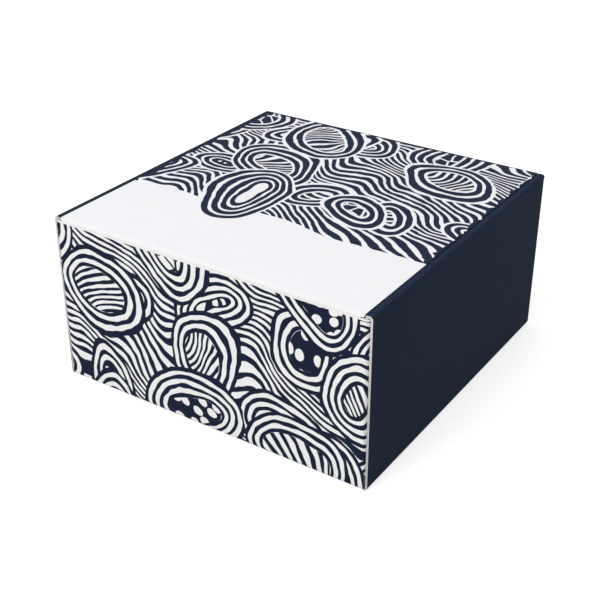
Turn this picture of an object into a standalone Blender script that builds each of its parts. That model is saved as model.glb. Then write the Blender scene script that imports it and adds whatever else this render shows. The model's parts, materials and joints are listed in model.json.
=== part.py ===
# Mailer box: one die-cut sheet of corrugated board, folded up into a box with
# double side walls that roll over at the top, corner flaps held inside those walls,
# and a hinged lid with a front tuck flap and two side flaps.
# Units are metres. X runs along the front, Y towards the back, Z up.
# The origin is the middle of the underside, so the box stands on Z = 0.
import math

import bmesh
import bpy

# Driving dimensions
BOX_WIDTH = 0.208          # outside, left to right
BOX_DEPTH = 0.2092         # outside, front to back
BOX_HEIGHT = 0.105         # outside, table to lid
BOARD = 0.0012             # thickness of the fine-flute board
FOLD_RADIUS = 0.0011       # outside radius of a folded edge
FOLD_STEPS = 5             # facets around a folded edge

# Clearances between neighbouring panels
PLY_GAP = 0.0001           # between plies that are pressed together
FOLD_GAP = 0.0003          # between panels that meet across a fold
LID_SIDE_GAP = 0.0007      # lid edge to the rolled side wall
CUT_SETBACK = 0.0008       # cut ends of the side walls behind the front and back faces
FLAP_PASS_GAP = 0.0006     # end of the tuck flap to the side flaps

# Double side walls
ROLL_WIDTH = 3 * BOARD + 2 * PLY_GAP
TAB_LENGTH = 0.032         # locking tab, along the wall
TAB_SPACING = 0.104        # between the middles of a wall's two tabs
TAB_TO_TABLE = 0.0002      # tab end above the underside
SLOT_PLAY = 0.0004         # tab to slot, at each end and behind

# Corner flaps on the front and back walls
CORNER_FLAP_LENGTH = 0.060
CORNER_FLAP_TAPER = 0.007
CORNER_FLAP_ROUND = 0.004

# Lid flaps
TUCK_FLAP_LENGTH = 0.045
TUCK_FLAP_TAPER = 0.003
TUCK_FLAP_ROUND = 0.012
TUCK_FLAP_LEAN = math.radians(6.6)   # the tucked flap leans in, clear of the front wall
SIDE_FLAP_LENGTH = 0.042
SIDE_FLAP_FRONT = 0.018    # side flap's front end behind the tuck flap's crease
SIDE_FLAP_FRONT_TAPER = 0.028
SIDE_FLAP_BACK = 0.005     # side flap's back end to the back wall
SIDE_FLAP_BACK_TAPER = 0.008
SIDE_FLAP_ROUND = 0.006

# Where the panels lie
HALF_WIDTH = BOX_WIDTH / 2
HALF_DEPTH = BOX_DEPTH / 2
END_WALL_HALF = HALF_WIDTH - BOARD - PLY_GAP        # front and back walls, half their width
END_WALL_TOP = BOX_HEIGHT - BOARD - FOLD_GAP
SIDE_WALL_TOP = BOX_HEIGHT - BOARD - PLY_GAP
CORNER_FLAP_X = HALF_WIDTH - 1.5 * BOARD - PLY_GAP  # middle of the corner flap's ply
INNER_WALL_X = HALF_WIDTH - ROLL_WIDTH + BOARD / 2  # middle of the inner wall's ply
INNER_WALL_FOOT = BOARD + PLY_GAP
LID_HALF = HALF_WIDTH - ROLL_WIDTH - LID_SIDE_GAP
LID_HINGE = (0.0, HALF_DEPTH - BOARD / 2, BOX_HEIGHT - BOARD / 2)
TUCK_CREASE = (0.0, -HALF_DEPTH + 2 * BOARD + FOLD_GAP, BOX_HEIGHT - BOARD)
SIDE_CREASE_X = LID_HALF - BOARD
SIDE_CREASE_Z = BOX_HEIGHT - BOARD
TUCK_HALF = SIDE_CREASE_X - FLAP_PASS_GAP

# Turns that stand a flat outline up
FACING_SIDE = (math.pi / 2, 0.0, math.pi / 2)       # outline x to the back, y up
FACING_FRONT = (math.pi / 2, 0.0, 0.0)              # outline x to the right, y up


def clear_scene():
    for thing in list(bpy.data.objects):
        bpy.data.objects.remove(thing, do_unlink=True)


def paint(name, colour, roughness):
    material = bpy.data.materials.new(name)
    material.use_nodes = True
    shader = material.node_tree.nodes["Principled BSDF"]
    shader.inputs["Base Color"].default_value = (*colour, 1.0)
    shader.inputs["Roughness"].default_value = roughness
    shader.inputs["Metallic"].default_value = 0.0
    return material


def axis_empty(name, place, parent=None):
    """An empty on a crease, which the panels that fold there hang from."""
    empty = bpy.data.objects.new(name, None)
    empty.empty_display_size = 0.01
    home.objects.link(empty)
    if parent is not None:
        empty.parent = parent
        place = tuple(a - b for a, b in zip(place, crease_place[parent.name]))
    empty.location = place
    return empty


def hang(piece, parent, place):
    """Parent a piece to its crease, keeping it at its place in the world."""
    piece.parent = parent
    piece.location = tuple(a - b for a, b in zip(place, crease_place[parent.name]))


def board(name, size, centre, material, folded=()):
    """A flat panel. Each folded entry names an outer edge by the signs of its place,
    with 0 for the axis that the edge runs along."""
    bm = bmesh.new()
    bmesh.ops.create_cube(bm, size=1.0)
    bmesh.ops.scale(bm, vec=size, verts=bm.verts)
    edges = [
        edge
        for edge in bm.edges
        if any(all(all(v.co[k] * sign[k] > 0 for v in edge.verts) for k in range(3) if sign[k])
               for sign in folded)
    ]
    if edges:
        bmesh.ops.bevel(bm, geom=edges, offset=FOLD_RADIUS, offset_type="OFFSET",
                        segments=FOLD_STEPS, profile=0.5, affect="EDGES", material=-1)
    mesh = bpy.data.meshes.new(name)
    bm.to_mesh(mesh)
    bm.free()
    piece = bpy.data.objects.new(name, mesh)
    piece.data.materials.append(material)
    piece.location = centre
    home.objects.link(piece)
    return piece


def rounded(corners):
    """Outline points from (x, y, radius) corners in order, with an arc at each radius."""
    points = []
    count = len(corners)
    for i, (x, y, radius) in enumerate(corners):
        if radius == 0:
            points.append((x, y))
            continue
        before = corners[i - 1]
        after = corners[(i + 1) % count]
        ax, ay = before[0] - x, before[1] - y
        bx, by = after[0] - x, after[1] - y
        la, lb = math.hypot(ax, ay), math.hypot(bx, by)
        ax, ay, bx, by = ax / la, ay / la, bx / lb, by / lb
        half = math.acos(max(-1.0, min(1.0, ax * bx + ay * by))) / 2
        reach = radius / math.tan(half)
        mx, my = ax + bx, ay + by
        lm = math.hypot(mx, my)
        cx, cy = x + mx / lm * radius / math.sin(half), y + my / lm * radius / math.sin(half)
        start = math.atan2(y + ay * reach - cy, x + ax * reach - cx)
        end = math.atan2(y + by * reach - cy, x + bx * reach - cx)
        turn = (end - start + math.pi) % (2 * math.pi) - math.pi
        points += [
            (cx + radius * math.cos(start + turn * k / FOLD_STEPS),
             cy + radius * math.sin(start + turn * k / FOLD_STEPS))
            for k in range(FOLD_STEPS + 1)
        ]
    return points


def sheet(name, corners, thickness, place, turn, material):
    """A panel cut to an outline: a flat curve with both faces filled."""
    curve = bpy.data.curves.new(name, "CURVE")
    curve.dimensions = "2D"
    curve.fill_mode = "BOTH"
    curve.extrude = thickness / 2
    points = rounded(corners)
    spline = curve.splines.new("POLY")
    spline.points.add(len(points) - 1)
    for point, (x, y) in zip(spline.points, points):
        point.co = (x, y, 0.0, 1.0)
    spline.use_cyclic_u = True
    curve.materials.append(material)
    piece = bpy.data.objects.new(name, curve)
    piece.location = place
    piece.rotation_euler = turn
    home.objects.link(piece)
    return piece


clear_scene()
home = bpy.data.collections.new("mailer_box")
bpy.context.scene.collection.children.link(home)

navy = paint("navy_print", (0.0195, 0.0270, 0.0500), 0.55)
white = paint("white_print", (0.8800, 0.8800, 0.9100), 0.50)
cream = paint("printed_cream", (0.5200, 0.5200, 0.5300), 0.55)
liner = paint("board_inside", (0.7800, 0.7600, 0.7100), 0.85)

# Bottom: a panel with two slots along each side fold, where the locking tabs come through
bottom_half_x = HALF_WIDTH - BOARD - PLY_GAP
bottom_half_y = HALF_DEPTH - BOARD - PLY_GAP
slot_x = INNER_WALL_X - BOARD / 2 - SLOT_PLAY
slot_half = TAB_LENGTH / 2 + SLOT_PLAY
slot_ends = [s * TAB_SPACING / 2 + e * slot_half for s in (-1, 1) for e in (-1, 1)]
right_side = [(bottom_half_x, -bottom_half_y, 0)]
for low, high in (slot_ends[:2], slot_ends[2:]):
    right_side += [(bottom_half_x, low, 0), (slot_x, low, 0), (slot_x, high, 0), (bottom_half_x, high, 0)]
right_side.append((bottom_half_x, bottom_half_y, 0))
left_side = [(-x, -y, r) for x, y, r in right_side]
sheet("bottom_panel", right_side + left_side, BOARD, (0.0, 0.0, BOARD / 2), (0.0, 0.0, 0.0), liner)

# Front and back walls: folded at the bottom and at both upright ends
end_size = (2 * END_WALL_HALF, BOARD, END_WALL_TOP)
for name, side, material in (("front_wall", -1, cream), ("back_wall", 1, navy)):
    board(name, end_size, (0.0, side * (HALF_DEPTH - BOARD / 2), END_WALL_TOP / 2), material,
          folded=[(0, side, -1), (-1, side, 0), (1, side, 0)])

# Corner flaps: they fold back from the end walls and lie inside the double side walls
flap_root = HALF_DEPTH - BOARD - PLY_GAP
flap_tip = flap_root - CORNER_FLAP_LENGTH
flap_low = BOARD + FOLD_GAP
flap_high = END_WALL_TOP
for end, y_side in (("front", -1), ("back", 1)):
    outline = [
        (y_side * flap_root, flap_low, 0),
        (y_side * flap_tip, flap_low + CORNER_FLAP_TAPER, CORNER_FLAP_ROUND),
        (y_side * flap_tip, flap_high - CORNER_FLAP_TAPER, CORNER_FLAP_ROUND),
        (y_side * flap_root, flap_high, 0),
    ]
    for side, x_side in (("left", -1), ("right", 1)):
        sheet(f"{end}_{side}_corner_flap", outline, BOARD, (x_side * CORNER_FLAP_X, 0.0, 0.0),
              FACING_SIDE, liner)

# Double side walls: outer wall, narrow roll-over strip on top, inner wall with two tabs
side_length = 2 * (HALF_DEPTH - CUT_SETBACK)
inner_end = HALF_DEPTH - BOARD - FOLD_GAP
inner_outline = [(-inner_end, INNER_WALL_FOOT, 0)]
for middle in (-TAB_SPACING / 2, TAB_SPACING / 2):
    low, high = middle - TAB_LENGTH / 2, middle + TAB_LENGTH / 2
    inner_outline += [
        (low, INNER_WALL_FOOT, 0),
        (low, TAB_TO_TABLE, 0),
        (high, TAB_TO_TABLE, 0),
        (high, INNER_WALL_FOOT, 0),
    ]
inner_outline += [(inner_end, INNER_WALL_FOOT, 0), (inner_end, SIDE_WALL_TOP, 0), (-inner_end, SIDE_WALL_TOP, 0)]
for side, sign in (("left", -1), ("right", 1)):
    board(f"{side}_outer_wall", (BOARD, side_length, SIDE_WALL_TOP),
          (sign * (HALF_WIDTH - BOARD / 2), 0.0, SIDE_WALL_TOP / 2), navy,
          folded=[(sign, 0, -1)])
    board(f"{side}_roll_top", (ROLL_WIDTH, side_length, BOARD),
          (sign * (HALF_WIDTH - ROLL_WIDTH / 2), 0.0, BOX_HEIGHT - BOARD / 2), navy,
          folded=[(-1, 0, 1), (1, 0, 1)])
    sheet(f"{side}_inner_wall", inner_outline, BOARD, (sign * INNER_WALL_X, 0.0, 0.0),
          FACING_SIDE, navy)

# Creases that the lid and its flaps turn on
crease_place = {
    "lid_crease": LID_HINGE,
    "tuck_crease": TUCK_CREASE,
    "left_flap_crease": (-SIDE_CREASE_X, 0.0, SIDE_CREASE_Z),
    "right_flap_crease": (SIDE_CREASE_X, 0.0, SIDE_CREASE_Z),
}
lid_crease = axis_empty("lid_crease", crease_place["lid_crease"])
creases = {
    name: axis_empty(name, crease_place[name], lid_crease)
    for name in crease_place
    if name != "lid_crease"
}

# Lid: round along the back crease, folded over the front wall at the front
lid_outline = [
    (-HALF_DEPTH, -BOARD / 2, 0),
    (HALF_DEPTH, -BOARD / 2, BOARD / 2),
    (HALF_DEPTH, BOARD / 2, BOARD / 2),
    (-HALF_DEPTH, BOARD / 2, FOLD_RADIUS),
]
lid = sheet("lid_panel", lid_outline, 2 * LID_HALF, (0.0, 0.0, 0.0), FACING_SIDE, white)
hang(lid, lid_crease, (0.0, 0.0, BOX_HEIGHT - BOARD / 2))

# Tuck flap: hangs behind the front wall, leaning in from its crease
tuck_outline = [
    (-TUCK_HALF, -FOLD_GAP, 0),
    (-TUCK_HALF + TUCK_FLAP_TAPER, -TUCK_FLAP_LENGTH, TUCK_FLAP_ROUND),
    (TUCK_HALF - TUCK_FLAP_TAPER, -TUCK_FLAP_LENGTH, TUCK_FLAP_ROUND),
    (TUCK_HALF, -FOLD_GAP, 0),
]
tuck = sheet("lid_tuck_flap", tuck_outline, BOARD, (0.0, 0.0, 0.0), FACING_FRONT, white)
tuck.rotation_euler = (math.pi / 2 + TUCK_FLAP_LEAN, 0.0, 0.0)
half_lean = (
    TUCK_CREASE[0],
    TUCK_CREASE[1] - BOARD / 2 * math.cos(TUCK_FLAP_LEAN),
    TUCK_CREASE[2] - BOARD / 2 * math.sin(TUCK_FLAP_LEAN),
)
hang(tuck, creases["tuck_crease"], half_lean)

# Side flaps: hang inside the inner walls from the lid's two side creases
flap_front = TUCK_CREASE[1] + SIDE_FLAP_FRONT
flap_back = HALF_DEPTH - BOARD - SIDE_FLAP_BACK
side_outline = [
    (flap_front, -FOLD_GAP, 0),
    (flap_front + SIDE_FLAP_FRONT_TAPER, -SIDE_FLAP_LENGTH, SIDE_FLAP_ROUND),
    (flap_back - SIDE_FLAP_BACK_TAPER, -SIDE_FLAP_LENGTH, SIDE_FLAP_ROUND),
    (flap_back, -FOLD_GAP, 0),
]
for side, sign in (("left", -1), ("right", 1)):
    flap = sheet(f"lid_{side}_flap", side_outline, BOARD, (0.0, 0.0, 0.0), FACING_SIDE, navy)
    hang(flap, creases[f"{side}_flap_crease"],
         (sign * (SIDE_CREASE_X + BOARD / 2), 0.0, SIDE_CREASE_Z))

print("outside", BOX_WIDTH, BOX_DEPTH, BOX_HEIGHT)
print("inside between walls", 2 * (HALF_WIDTH - ROLL_WIDTH), 2 * (HALF_DEPTH - BOARD), BOX_HEIGHT - 2 * BOARD)
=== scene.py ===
# %% [markdown]
# # A mailer box, from flat board to printed finish
# The real box is one die-cut sheet of fine-flute board. It is printed on one face, creased, and
# folded up with no glue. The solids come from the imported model. This lesson gives each panel its
# paper: rounded folds, raw cut edges, and a print that runs over the folds.

# %% Load the solids that every piece is fitted to
import json
import math
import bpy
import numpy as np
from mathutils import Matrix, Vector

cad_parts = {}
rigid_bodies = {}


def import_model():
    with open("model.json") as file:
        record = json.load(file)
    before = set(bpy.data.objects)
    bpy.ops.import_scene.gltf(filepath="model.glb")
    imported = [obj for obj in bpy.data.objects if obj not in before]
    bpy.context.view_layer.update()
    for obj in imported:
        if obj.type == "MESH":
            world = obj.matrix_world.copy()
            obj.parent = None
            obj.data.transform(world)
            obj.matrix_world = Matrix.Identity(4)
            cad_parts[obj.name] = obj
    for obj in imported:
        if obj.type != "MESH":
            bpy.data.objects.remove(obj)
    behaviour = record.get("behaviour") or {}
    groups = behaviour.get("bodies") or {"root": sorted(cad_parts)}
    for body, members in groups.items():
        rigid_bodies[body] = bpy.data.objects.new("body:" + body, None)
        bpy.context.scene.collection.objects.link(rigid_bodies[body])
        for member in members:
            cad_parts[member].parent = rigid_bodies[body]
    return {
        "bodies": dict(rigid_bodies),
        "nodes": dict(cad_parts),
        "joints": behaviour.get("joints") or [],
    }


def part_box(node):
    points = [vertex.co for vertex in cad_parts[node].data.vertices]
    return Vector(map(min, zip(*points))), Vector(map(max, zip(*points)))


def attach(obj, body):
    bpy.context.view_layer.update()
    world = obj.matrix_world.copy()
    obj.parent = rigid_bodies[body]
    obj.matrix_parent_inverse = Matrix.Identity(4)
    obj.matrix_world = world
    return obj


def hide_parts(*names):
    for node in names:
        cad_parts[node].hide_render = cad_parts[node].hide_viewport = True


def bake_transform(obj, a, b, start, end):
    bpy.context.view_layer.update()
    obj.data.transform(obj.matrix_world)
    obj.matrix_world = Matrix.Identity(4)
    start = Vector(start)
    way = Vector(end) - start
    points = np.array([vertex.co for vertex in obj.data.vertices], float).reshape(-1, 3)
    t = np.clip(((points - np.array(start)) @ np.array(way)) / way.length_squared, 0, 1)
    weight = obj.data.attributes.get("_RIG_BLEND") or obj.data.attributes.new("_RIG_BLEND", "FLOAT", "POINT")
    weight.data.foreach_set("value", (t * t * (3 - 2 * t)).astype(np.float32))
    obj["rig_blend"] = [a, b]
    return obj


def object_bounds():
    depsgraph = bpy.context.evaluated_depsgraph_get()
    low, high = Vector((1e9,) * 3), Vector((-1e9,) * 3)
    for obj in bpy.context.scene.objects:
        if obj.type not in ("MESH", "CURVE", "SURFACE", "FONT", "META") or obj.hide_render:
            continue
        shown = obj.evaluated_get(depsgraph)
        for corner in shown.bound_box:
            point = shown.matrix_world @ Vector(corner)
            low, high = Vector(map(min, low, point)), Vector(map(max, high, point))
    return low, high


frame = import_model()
from types import SimpleNamespace

import bmesh
import bpy
from mathutils import Vector

kept = set(frame["nodes"].values()) | set(frame["bodies"].values())
for thing in [o for o in bpy.data.objects if o not in kept]:
    bpy.data.objects.remove(thing)
solid_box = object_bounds()
low, high = solid_box
print("solids:", len(frame["nodes"]), "size in mm:", [round(v * 1000, 1) for v in high - low])

# %% [markdown]
# The panels' places are read from the solids, so nothing here is fitted by eye. A box is measured
# from its outside faces: half the width, half the depth, and the height of the lid.

# %% Measure the panels
HALF_WIDTH = high.x
HALF_DEPTH = high.y
HEIGHT = high.z
lid_low, lid_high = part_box("lid_panel")
roll_low, roll_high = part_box("right_roll_top")
inner_low, inner_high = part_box("right_inner_wall")
flap_low, flap_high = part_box("lid_right_flap")
corner_low, corner_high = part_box("front_right_corner_flap")
wall_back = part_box("right_outer_wall")[1].y
end_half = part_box("front_wall")[1].x
tuck_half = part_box("lid_tuck_flap")[1].x
lid_half = lid_high.x
BOARD = lid_high.z - lid_low.z
print("board in mm:", round(BOARD * 1000, 2), "lid in mm:", round(2 * lid_half * 1000, 1))

# %% [markdown]
# ## Camera
# The camera stands where the photographer stood: in front, to the right, and looking down at the
# lid. Its place and lens were solved from the box's edges.

# %% Camera
EYE = Vector((0.32939, -0.50788, 0.37337))
AIM = Vector((0.015459, -0.032881, 0.053846))


def add_object(name, data):
    """Put a new object in the scene."""
    thing = bpy.data.objects.new(name, data)
    bpy.context.scene.collection.objects.link(thing)
    return thing


def look(thing, place, target):
    """Stand a camera or a lamp at a place, and turn it towards a target."""
    thing.location = place
    thing.rotation_euler = (target - place).to_track_quat("-Z", "Y").to_euler()


camera = add_object("camera", bpy.data.cameras.new("camera"))
camera.data.sensor_width = 36.0
camera.data.lens = 67.355
camera.data.clip_start = 0.01
look(camera, EYE, AIM)
bpy.context.scene.camera = camera
print("camera distance in mm:", round((AIM - EYE).length * 1000))

# %% [markdown]
# ## Helpers for shader nodes
# A material is a tree of small nodes joined by wires. A class wraps a node's output, so that a sum
# of wires is written as a sum, and each sign adds one Math node. The other helpers add one node
# of a kind each.

# %% Wires and nodes
def math_sign(operation, turned=False):
    """A sign between two wires, or between a wire and a number."""
    def step(self, other):
        return calc(operation, other, self) if turned else calc(operation, self, other)
    return step


class Wire:
    """A node's output, which can be part of a sum."""

    __add__ = math_sign("ADD")
    __sub__ = math_sign("SUBTRACT")
    __rsub__ = math_sign("SUBTRACT", turned=True)
    __mul__ = math_sign("MULTIPLY")
    __truediv__ = math_sign("DIVIDE")
    __rtruediv__ = math_sign("DIVIDE", turned=True)
    __gt__ = math_sign("GREATER_THAN")
    __lt__ = math_sign("LESS_THAN")

    def __init__(self, socket):
        self.socket = socket
        self.tree = socket.id_data


def put(tree, kind, feed=None, **settings):
    """Add a node. feed maps an input's name or number to a value or a wire."""
    node = tree.nodes.new(kind)
    node.location = (180 * len(tree.nodes), 0)
    for key, value in settings.items():
        setattr(node, key, value)
    for key, value in (feed or {}).items():
        if isinstance(value, Wire):
            tree.links.new(value.socket, node.inputs[key])
        else:
            node.inputs[key].default_value = value
    return node


def joined(kind, feed, output=0, **settings):
    """Add a node to the tree that its wires come from, and read one output."""
    tree = next(value.tree for value in feed.values() if isinstance(value, Wire))
    return Wire(put(tree, kind, feed, **settings).outputs[output])


def calc(operation, *values):
    """One step on numbers."""
    return joined("ShaderNodeMath", dict(enumerate(values)), operation=operation)


def vector_calc(operation, *values):
    """One step on vectors. A length or a dot product is a number, and the second output."""
    output = int(operation in ("LENGTH", "DOT_PRODUCT"))
    return joined("ShaderNodeVectorMath", dict(enumerate(values)), output, operation=operation)


def wires(node):
    """All the outputs of a node."""
    return [Wire(output) for output in node.outputs]


def split(vector, kind="ShaderNodeSeparateXYZ"):
    """The three numbers of a vector or a colour."""
    return wires(put(vector.tree, kind, {0: vector}))


print("wires ready")

# %% [markdown]
# The next helpers are for looks: blends, noise, a ramp from one range to another, and numbers that
# a mesh carries on its points. A node group is a tree that several materials share.

# %% Blends, noise and groups
def mix(factor, first, second, kind="MIX"):
    """Blend two colours."""
    return joined("ShaderNodeMix", {0: factor, 6: first, 7: second}, 2, data_type="RGBA", blend_type=kind)


def tint(colour, tone):
    """Multiply a colour by a tone near 1."""
    return mix(1.0, colour, tone, "MULTIPLY")


def choose(factor, first, second):
    """Blend two numbers."""
    return joined("ShaderNodeMix", {0: factor, 2: first, 3: second}, data_type="FLOAT")


def noise(vector, scale, detail, roughness=0.5, output=0):
    """A smooth noise: output 0 is a number, output 1 a colour."""
    feed = {"Vector": vector, "Scale": scale, "Detail": detail, "Roughness": roughness}
    return joined("ShaderNodeTexNoise", feed, output)


def cells(vector, scale, randomness, feature="F1"):
    """Points scattered on the plane, and what is known about the nearest one."""
    feed = {"Vector": vector, "Scale": scale, "Randomness": randomness}
    node = put(vector.tree, "ShaderNodeTexVoronoi", feed, voronoi_dimensions="2D", feature=feature)
    return {output.name: Wire(output) for output in node.outputs}


def ramp(value, start, end, low=0.0, high=1.0, kind="LINEAR"):
    """Map start to low and end to high, and stop there."""
    feed = {0: value, 1: start, 2: end, 3: low, 4: high}
    return joined("ShaderNodeMapRange", feed, interpolation_type=kind)


def carried(tree, name):
    """A number that the mesh carries on its points."""
    return Wire(put(tree, "ShaderNodeAttribute", attribute_name=name).outputs["Fac"])


def group(name, inputs):
    """Start a node group. An input with no default is a vector."""
    tree = bpy.data.node_groups.new(name, "ShaderNodeTree")
    for label, value in inputs.items():
        kind = "Vector" if value is None else "Float"
        socket = tree.interface.new_socket(label, in_out="INPUT", socket_type=f"NodeSocket{kind}")
        if value is not None:
            socket.default_value = value
    node = put(tree, "NodeGroupInput")
    return tree, {label: Wire(node.outputs[label]) for label in inputs}


def close_group(tree, **results):
    """Give a node group its outputs."""
    for label in results:
        tree.interface.new_socket(label, in_out="OUTPUT", socket_type="NodeSocketFloat")
    put(tree, "NodeGroupOutput", results)
    print(f"{tree.name}: {len(tree.nodes)} nodes")


print("blends, noise and groups ready")

# %% [markdown]
# ## Paper surface
# Coated liner is never quite even. Fibres make a fine tooth, the sheet clouds a little when held
# to the light, and the flutes below show through as a faint washboard. The group takes the place
# on the piece in millimetres and gives a tone, a roughness change and a height.

# %% Group: paper surface
FLUTE_PITCH = 2.4  # millimetres from one flute to the next
paper, given = group("paper_surface", {"Vector": None, "Washboard": 0.5, "Tooth": 0.5})
cloud = noise(given["Vector"], 0.09, 3.0, 0.55)
wave = calc("SINE", split(given["Vector"])[1] * (math.tau / FLUTE_PITCH))
board_wave = wave * (cloud * 0.9 + 0.1) * given["Washboard"]
tooth = (noise(given["Vector"], 2.2, 4.0, 0.65) - 0.5) * given["Tooth"]
cloudy = cloud - 0.5
close_group(
    paper,
    Tone=cloudy * 0.06 + (tooth * 0.05 + 1.0),
    Roughness=cloudy * 0.12 + tooth * 0.25,
    Height=board_wave * 0.35 + tooth,
)

# %% [markdown]
# ## Wear
# Ink is a thin skin on the liner. It breaks first along the cut edges, where the knife lifts the
# fibres, and along the folds, where the skin is stretched. Each mesh carries two numbers on its
# points, cut and fold, that are 1 on the edge and 0 a little way in. This group turns them into a
# broken mask of bare paper.

# %% Group: wear along cuts and folds
wear, given = group("edge_wear", {"Vector": None, "Cut": 0.0, "Fold": 0.0, "Fold Wear": 0.2})
grit = noise(given["Vector"], 1.6, 5.0, 0.7)
slow = noise(given["Vector"], 0.12, 2.0)
at_cut = ramp(given["Cut"] + (grit * 0.9 - 0.45), 0.50, 0.72, kind="SMOOTHSTEP")
at_fold = ramp(given["Fold"] * (grit + slow * 0.9), 0.92, 1.25, kind="SMOOTHSTEP")
close_group(wear, Mask=calc("MAXIMUM", at_cut, at_fold * given["Fold Wear"]))

# %% [markdown]
# ## Drawn strokes
# The print looks drawn with a pen: lines of nearly even width that follow a form at a steady
# spacing. One small group makes such lines from any distance in millimetres. PINGPONG folds the
# distance back and forth, so it is 0 on each line and largest half way between two lines.

# %% Group: pen strokes
CRISPNESS = 6.0  # a stroke's edge is 1/6 mm soft
strokes, given = group("pen_strokes", {"Distance": 0.0, "Spacing": 4.0, "Width": 1.5})
folded = calc("PINGPONG", given["Distance"], given["Spacing"] * 0.5)
inside = given["Width"] * 0.5 - folded
close_group(strokes, Line=joined("ShaderNodeClamp", {0: inside * CRISPNESS + 0.5}))


def stroke(distance, spacing, width, weight):
    """Place the pen group, with a width that the hand varies."""
    return joined("ShaderNodeGroup", {0: distance, 1: spacing, 2: width * weight}, node_tree=strokes)


# %% [markdown]
# ## River stones, one layer
# The design is a generic one: round stones in rippled water. A Voronoi texture scatters one stone
# in each cell and gives its middle and a random colour, which picks its turn, size and filling.
# The distance to an oval's edge is known closely from two lengths, so the strokes that ring a
# stone keep an even spacing. The rings stop at a core, because ovals inside ovals pinch there. A
# stone hides what lies below it, as if it were drawn on top.

# %% Group: one layer of stones
PENS = {"Band Spacing": 5.2, "Band Line": 2.5, "Fill Spacing": 5.0, "Fill Line": 2.45}
NO_BORDER = -10000.0
layer, given = group("stone_layer", {
    "Vector": None, "Below": 0.0, "Below Field": 1.0, "Border": NO_BORDER, "Shift": None, "Cell": 88.0,
    "Radius": 27.0, "Weight": 1.0, "Swell": 0.0, "Pebbles": 0.0, "Seeds": 0.0, **PENS,
})
near = cells(vector_calc("ADD", given["Vector"], given["Shift"]), 1.0 / given["Cell"], 0.4)
turn, size, kind = split(near["Color"], "ShaderNodeSeparateColor")
middle = vector_calc("SUBTRACT", near["Position"], given["Shift"])
local = vector_calc("SUBTRACT", given["Vector"], middle)
turned = joined("ShaderNodeVectorRotate", {"Vector": local, "Angle": turn * math.pi}, rotation_type="Z_AXIS")

long_radius = given["Radius"] * (size * 0.35 + 0.82)
short_radius = long_radius * (calc("FRACT", size * 7.0) * 0.26 + 0.66)
radii = joined("ShaderNodeCombineXYZ", {0: long_radius, 1: short_radius, 2: 1.0})
once = vector_calc("DIVIDE", turned, radii)
twice = vector_calc("DIVIDE", once, radii)
reach = vector_calc("LENGTH", once)
slope = calc("MAXIMUM", vector_calc("LENGTH", twice), 0.0001)
depth = reach * (1.0 - reach) / slope
core = calc("SNAP", short_radius * 0.95, given["Band Spacing"] * 0.5)

bands = stroke(calc("MINIMUM", depth, core), given["Band Spacing"], given["Band Line"], given["Weight"])
rings = (calc("FRACT", kind * 9.0) > 0.5) + 2.0
band_depth = rings * given["Band Spacing"] + given["Band Line"] * 0.5
waves = stroke(split(turned)[0] + given["Swell"], given["Fill Spacing"], given["Fill Line"], given["Weight"])
fill = choose(kind > 0.36, waves, bands)
fill = choose(kind > 0.52, fill, given["Pebbles"])
fill = choose(kind > 0.76, fill, given["Seeds"])
stone = choose(depth > band_depth, bands, fill)

in_print = split(middle)[1] > given["Border"]
covers = (depth > 0.0) * in_print
touches = (depth > given["Band Line"] * -0.7) * in_print
beside = calc("MAXIMUM", given["Below"], bands * touches)
close_group(layer, Line=choose(covers, beside, stone), Field=calc("MAXIMUM", given["Below Field"], covers))

# %% [markdown]
# ## The whole print
# Water comes first, as long ripples. Three layers of stones lie over it, with the largest on top.
# A slow noise bends the sheet so that no oval is perfect, and a finer one shakes the pen a little.
# Where the print has a border, a stone is drawn whole if its middle is inside, or else not at all.
# All lengths are in millimetres on the board.

# %% Group: the stone print
stones, given = group("stone_print", {
    "Vector": None, "Border": NO_BORDER, "Pebble": 9.0, "Pebble Line": 0.75, **PENS,
})
drawn = given["Vector"]
for scale, detail, sway in ((0.020, 0.0, 24.0), (0.10, 1.0, 2.0)):
    drift = vector_calc("SUBTRACT", noise(given["Vector"], scale, detail, output=1), (0.5, 0.5, 0.5))
    drawn = vector_calc("MULTIPLY_ADD", drift, (sway, sway, 0.0), drawn)
weight = noise(given["Vector"], 0.09, 1.0) * 1.3 + 0.35
swell = noise(drawn, 0.030, 0.0) * 30.0

pebble_scale = 1.0 / given["Pebble"]
pebble_edge = cells(drawn, pebble_scale, 0.8, "DISTANCE_TO_EDGE")["Distance"]
pebbles = ramp(pebble_edge * given["Pebble"], given["Pebble Line"] + 0.08, given["Pebble Line"] - 0.08)
seeds = ramp(cells(drawn, pebble_scale, 0.7)["Distance"], 0.33, 0.35)

FLOW = (0.42, 0.91, 0.0)  # across the ripples
LAYERS = (  # cell, radius and shift
    (62.0, 24.0, (17.0, 31.0, 0.0)),
    (78.0, 29.0, (240.0, 410.0, 0.0)),
    (100.0, 34.0, (530.0, 120.0, 0.0)),
)
flow = vector_calc("DOT_PRODUCT", drawn, FLOW) + swell
line = stroke(flow, given["Fill Spacing"], given["Fill Line"], weight)
field = split(drawn)[1] > given["Border"]
shared = {label: given[label] for label in ("Border", *PENS)}
for cell_size, radius, shift in LAYERS:
    placed = put(stones, "ShaderNodeGroup", {
        "Vector": drawn, "Below": line, "Below Field": field, "Shift": shift, "Cell": cell_size,
        "Radius": radius, "Weight": weight, "Swell": swell, "Pebbles": pebbles, "Seeds": seeds, **shared,
    }, node_tree=layer)
    line, field = wires(placed)
close_group(stones, Line=line, Field=field)

# %% [markdown]
# ## Printed and bare materials
# Every finish starts the same way: read the sheet map that lies on the piece, turn it into
# millimetres, and ask the groups for tone, height and wear. Only the colour between differs, so
# helpers build the common parts and each finish adds its own print.

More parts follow.
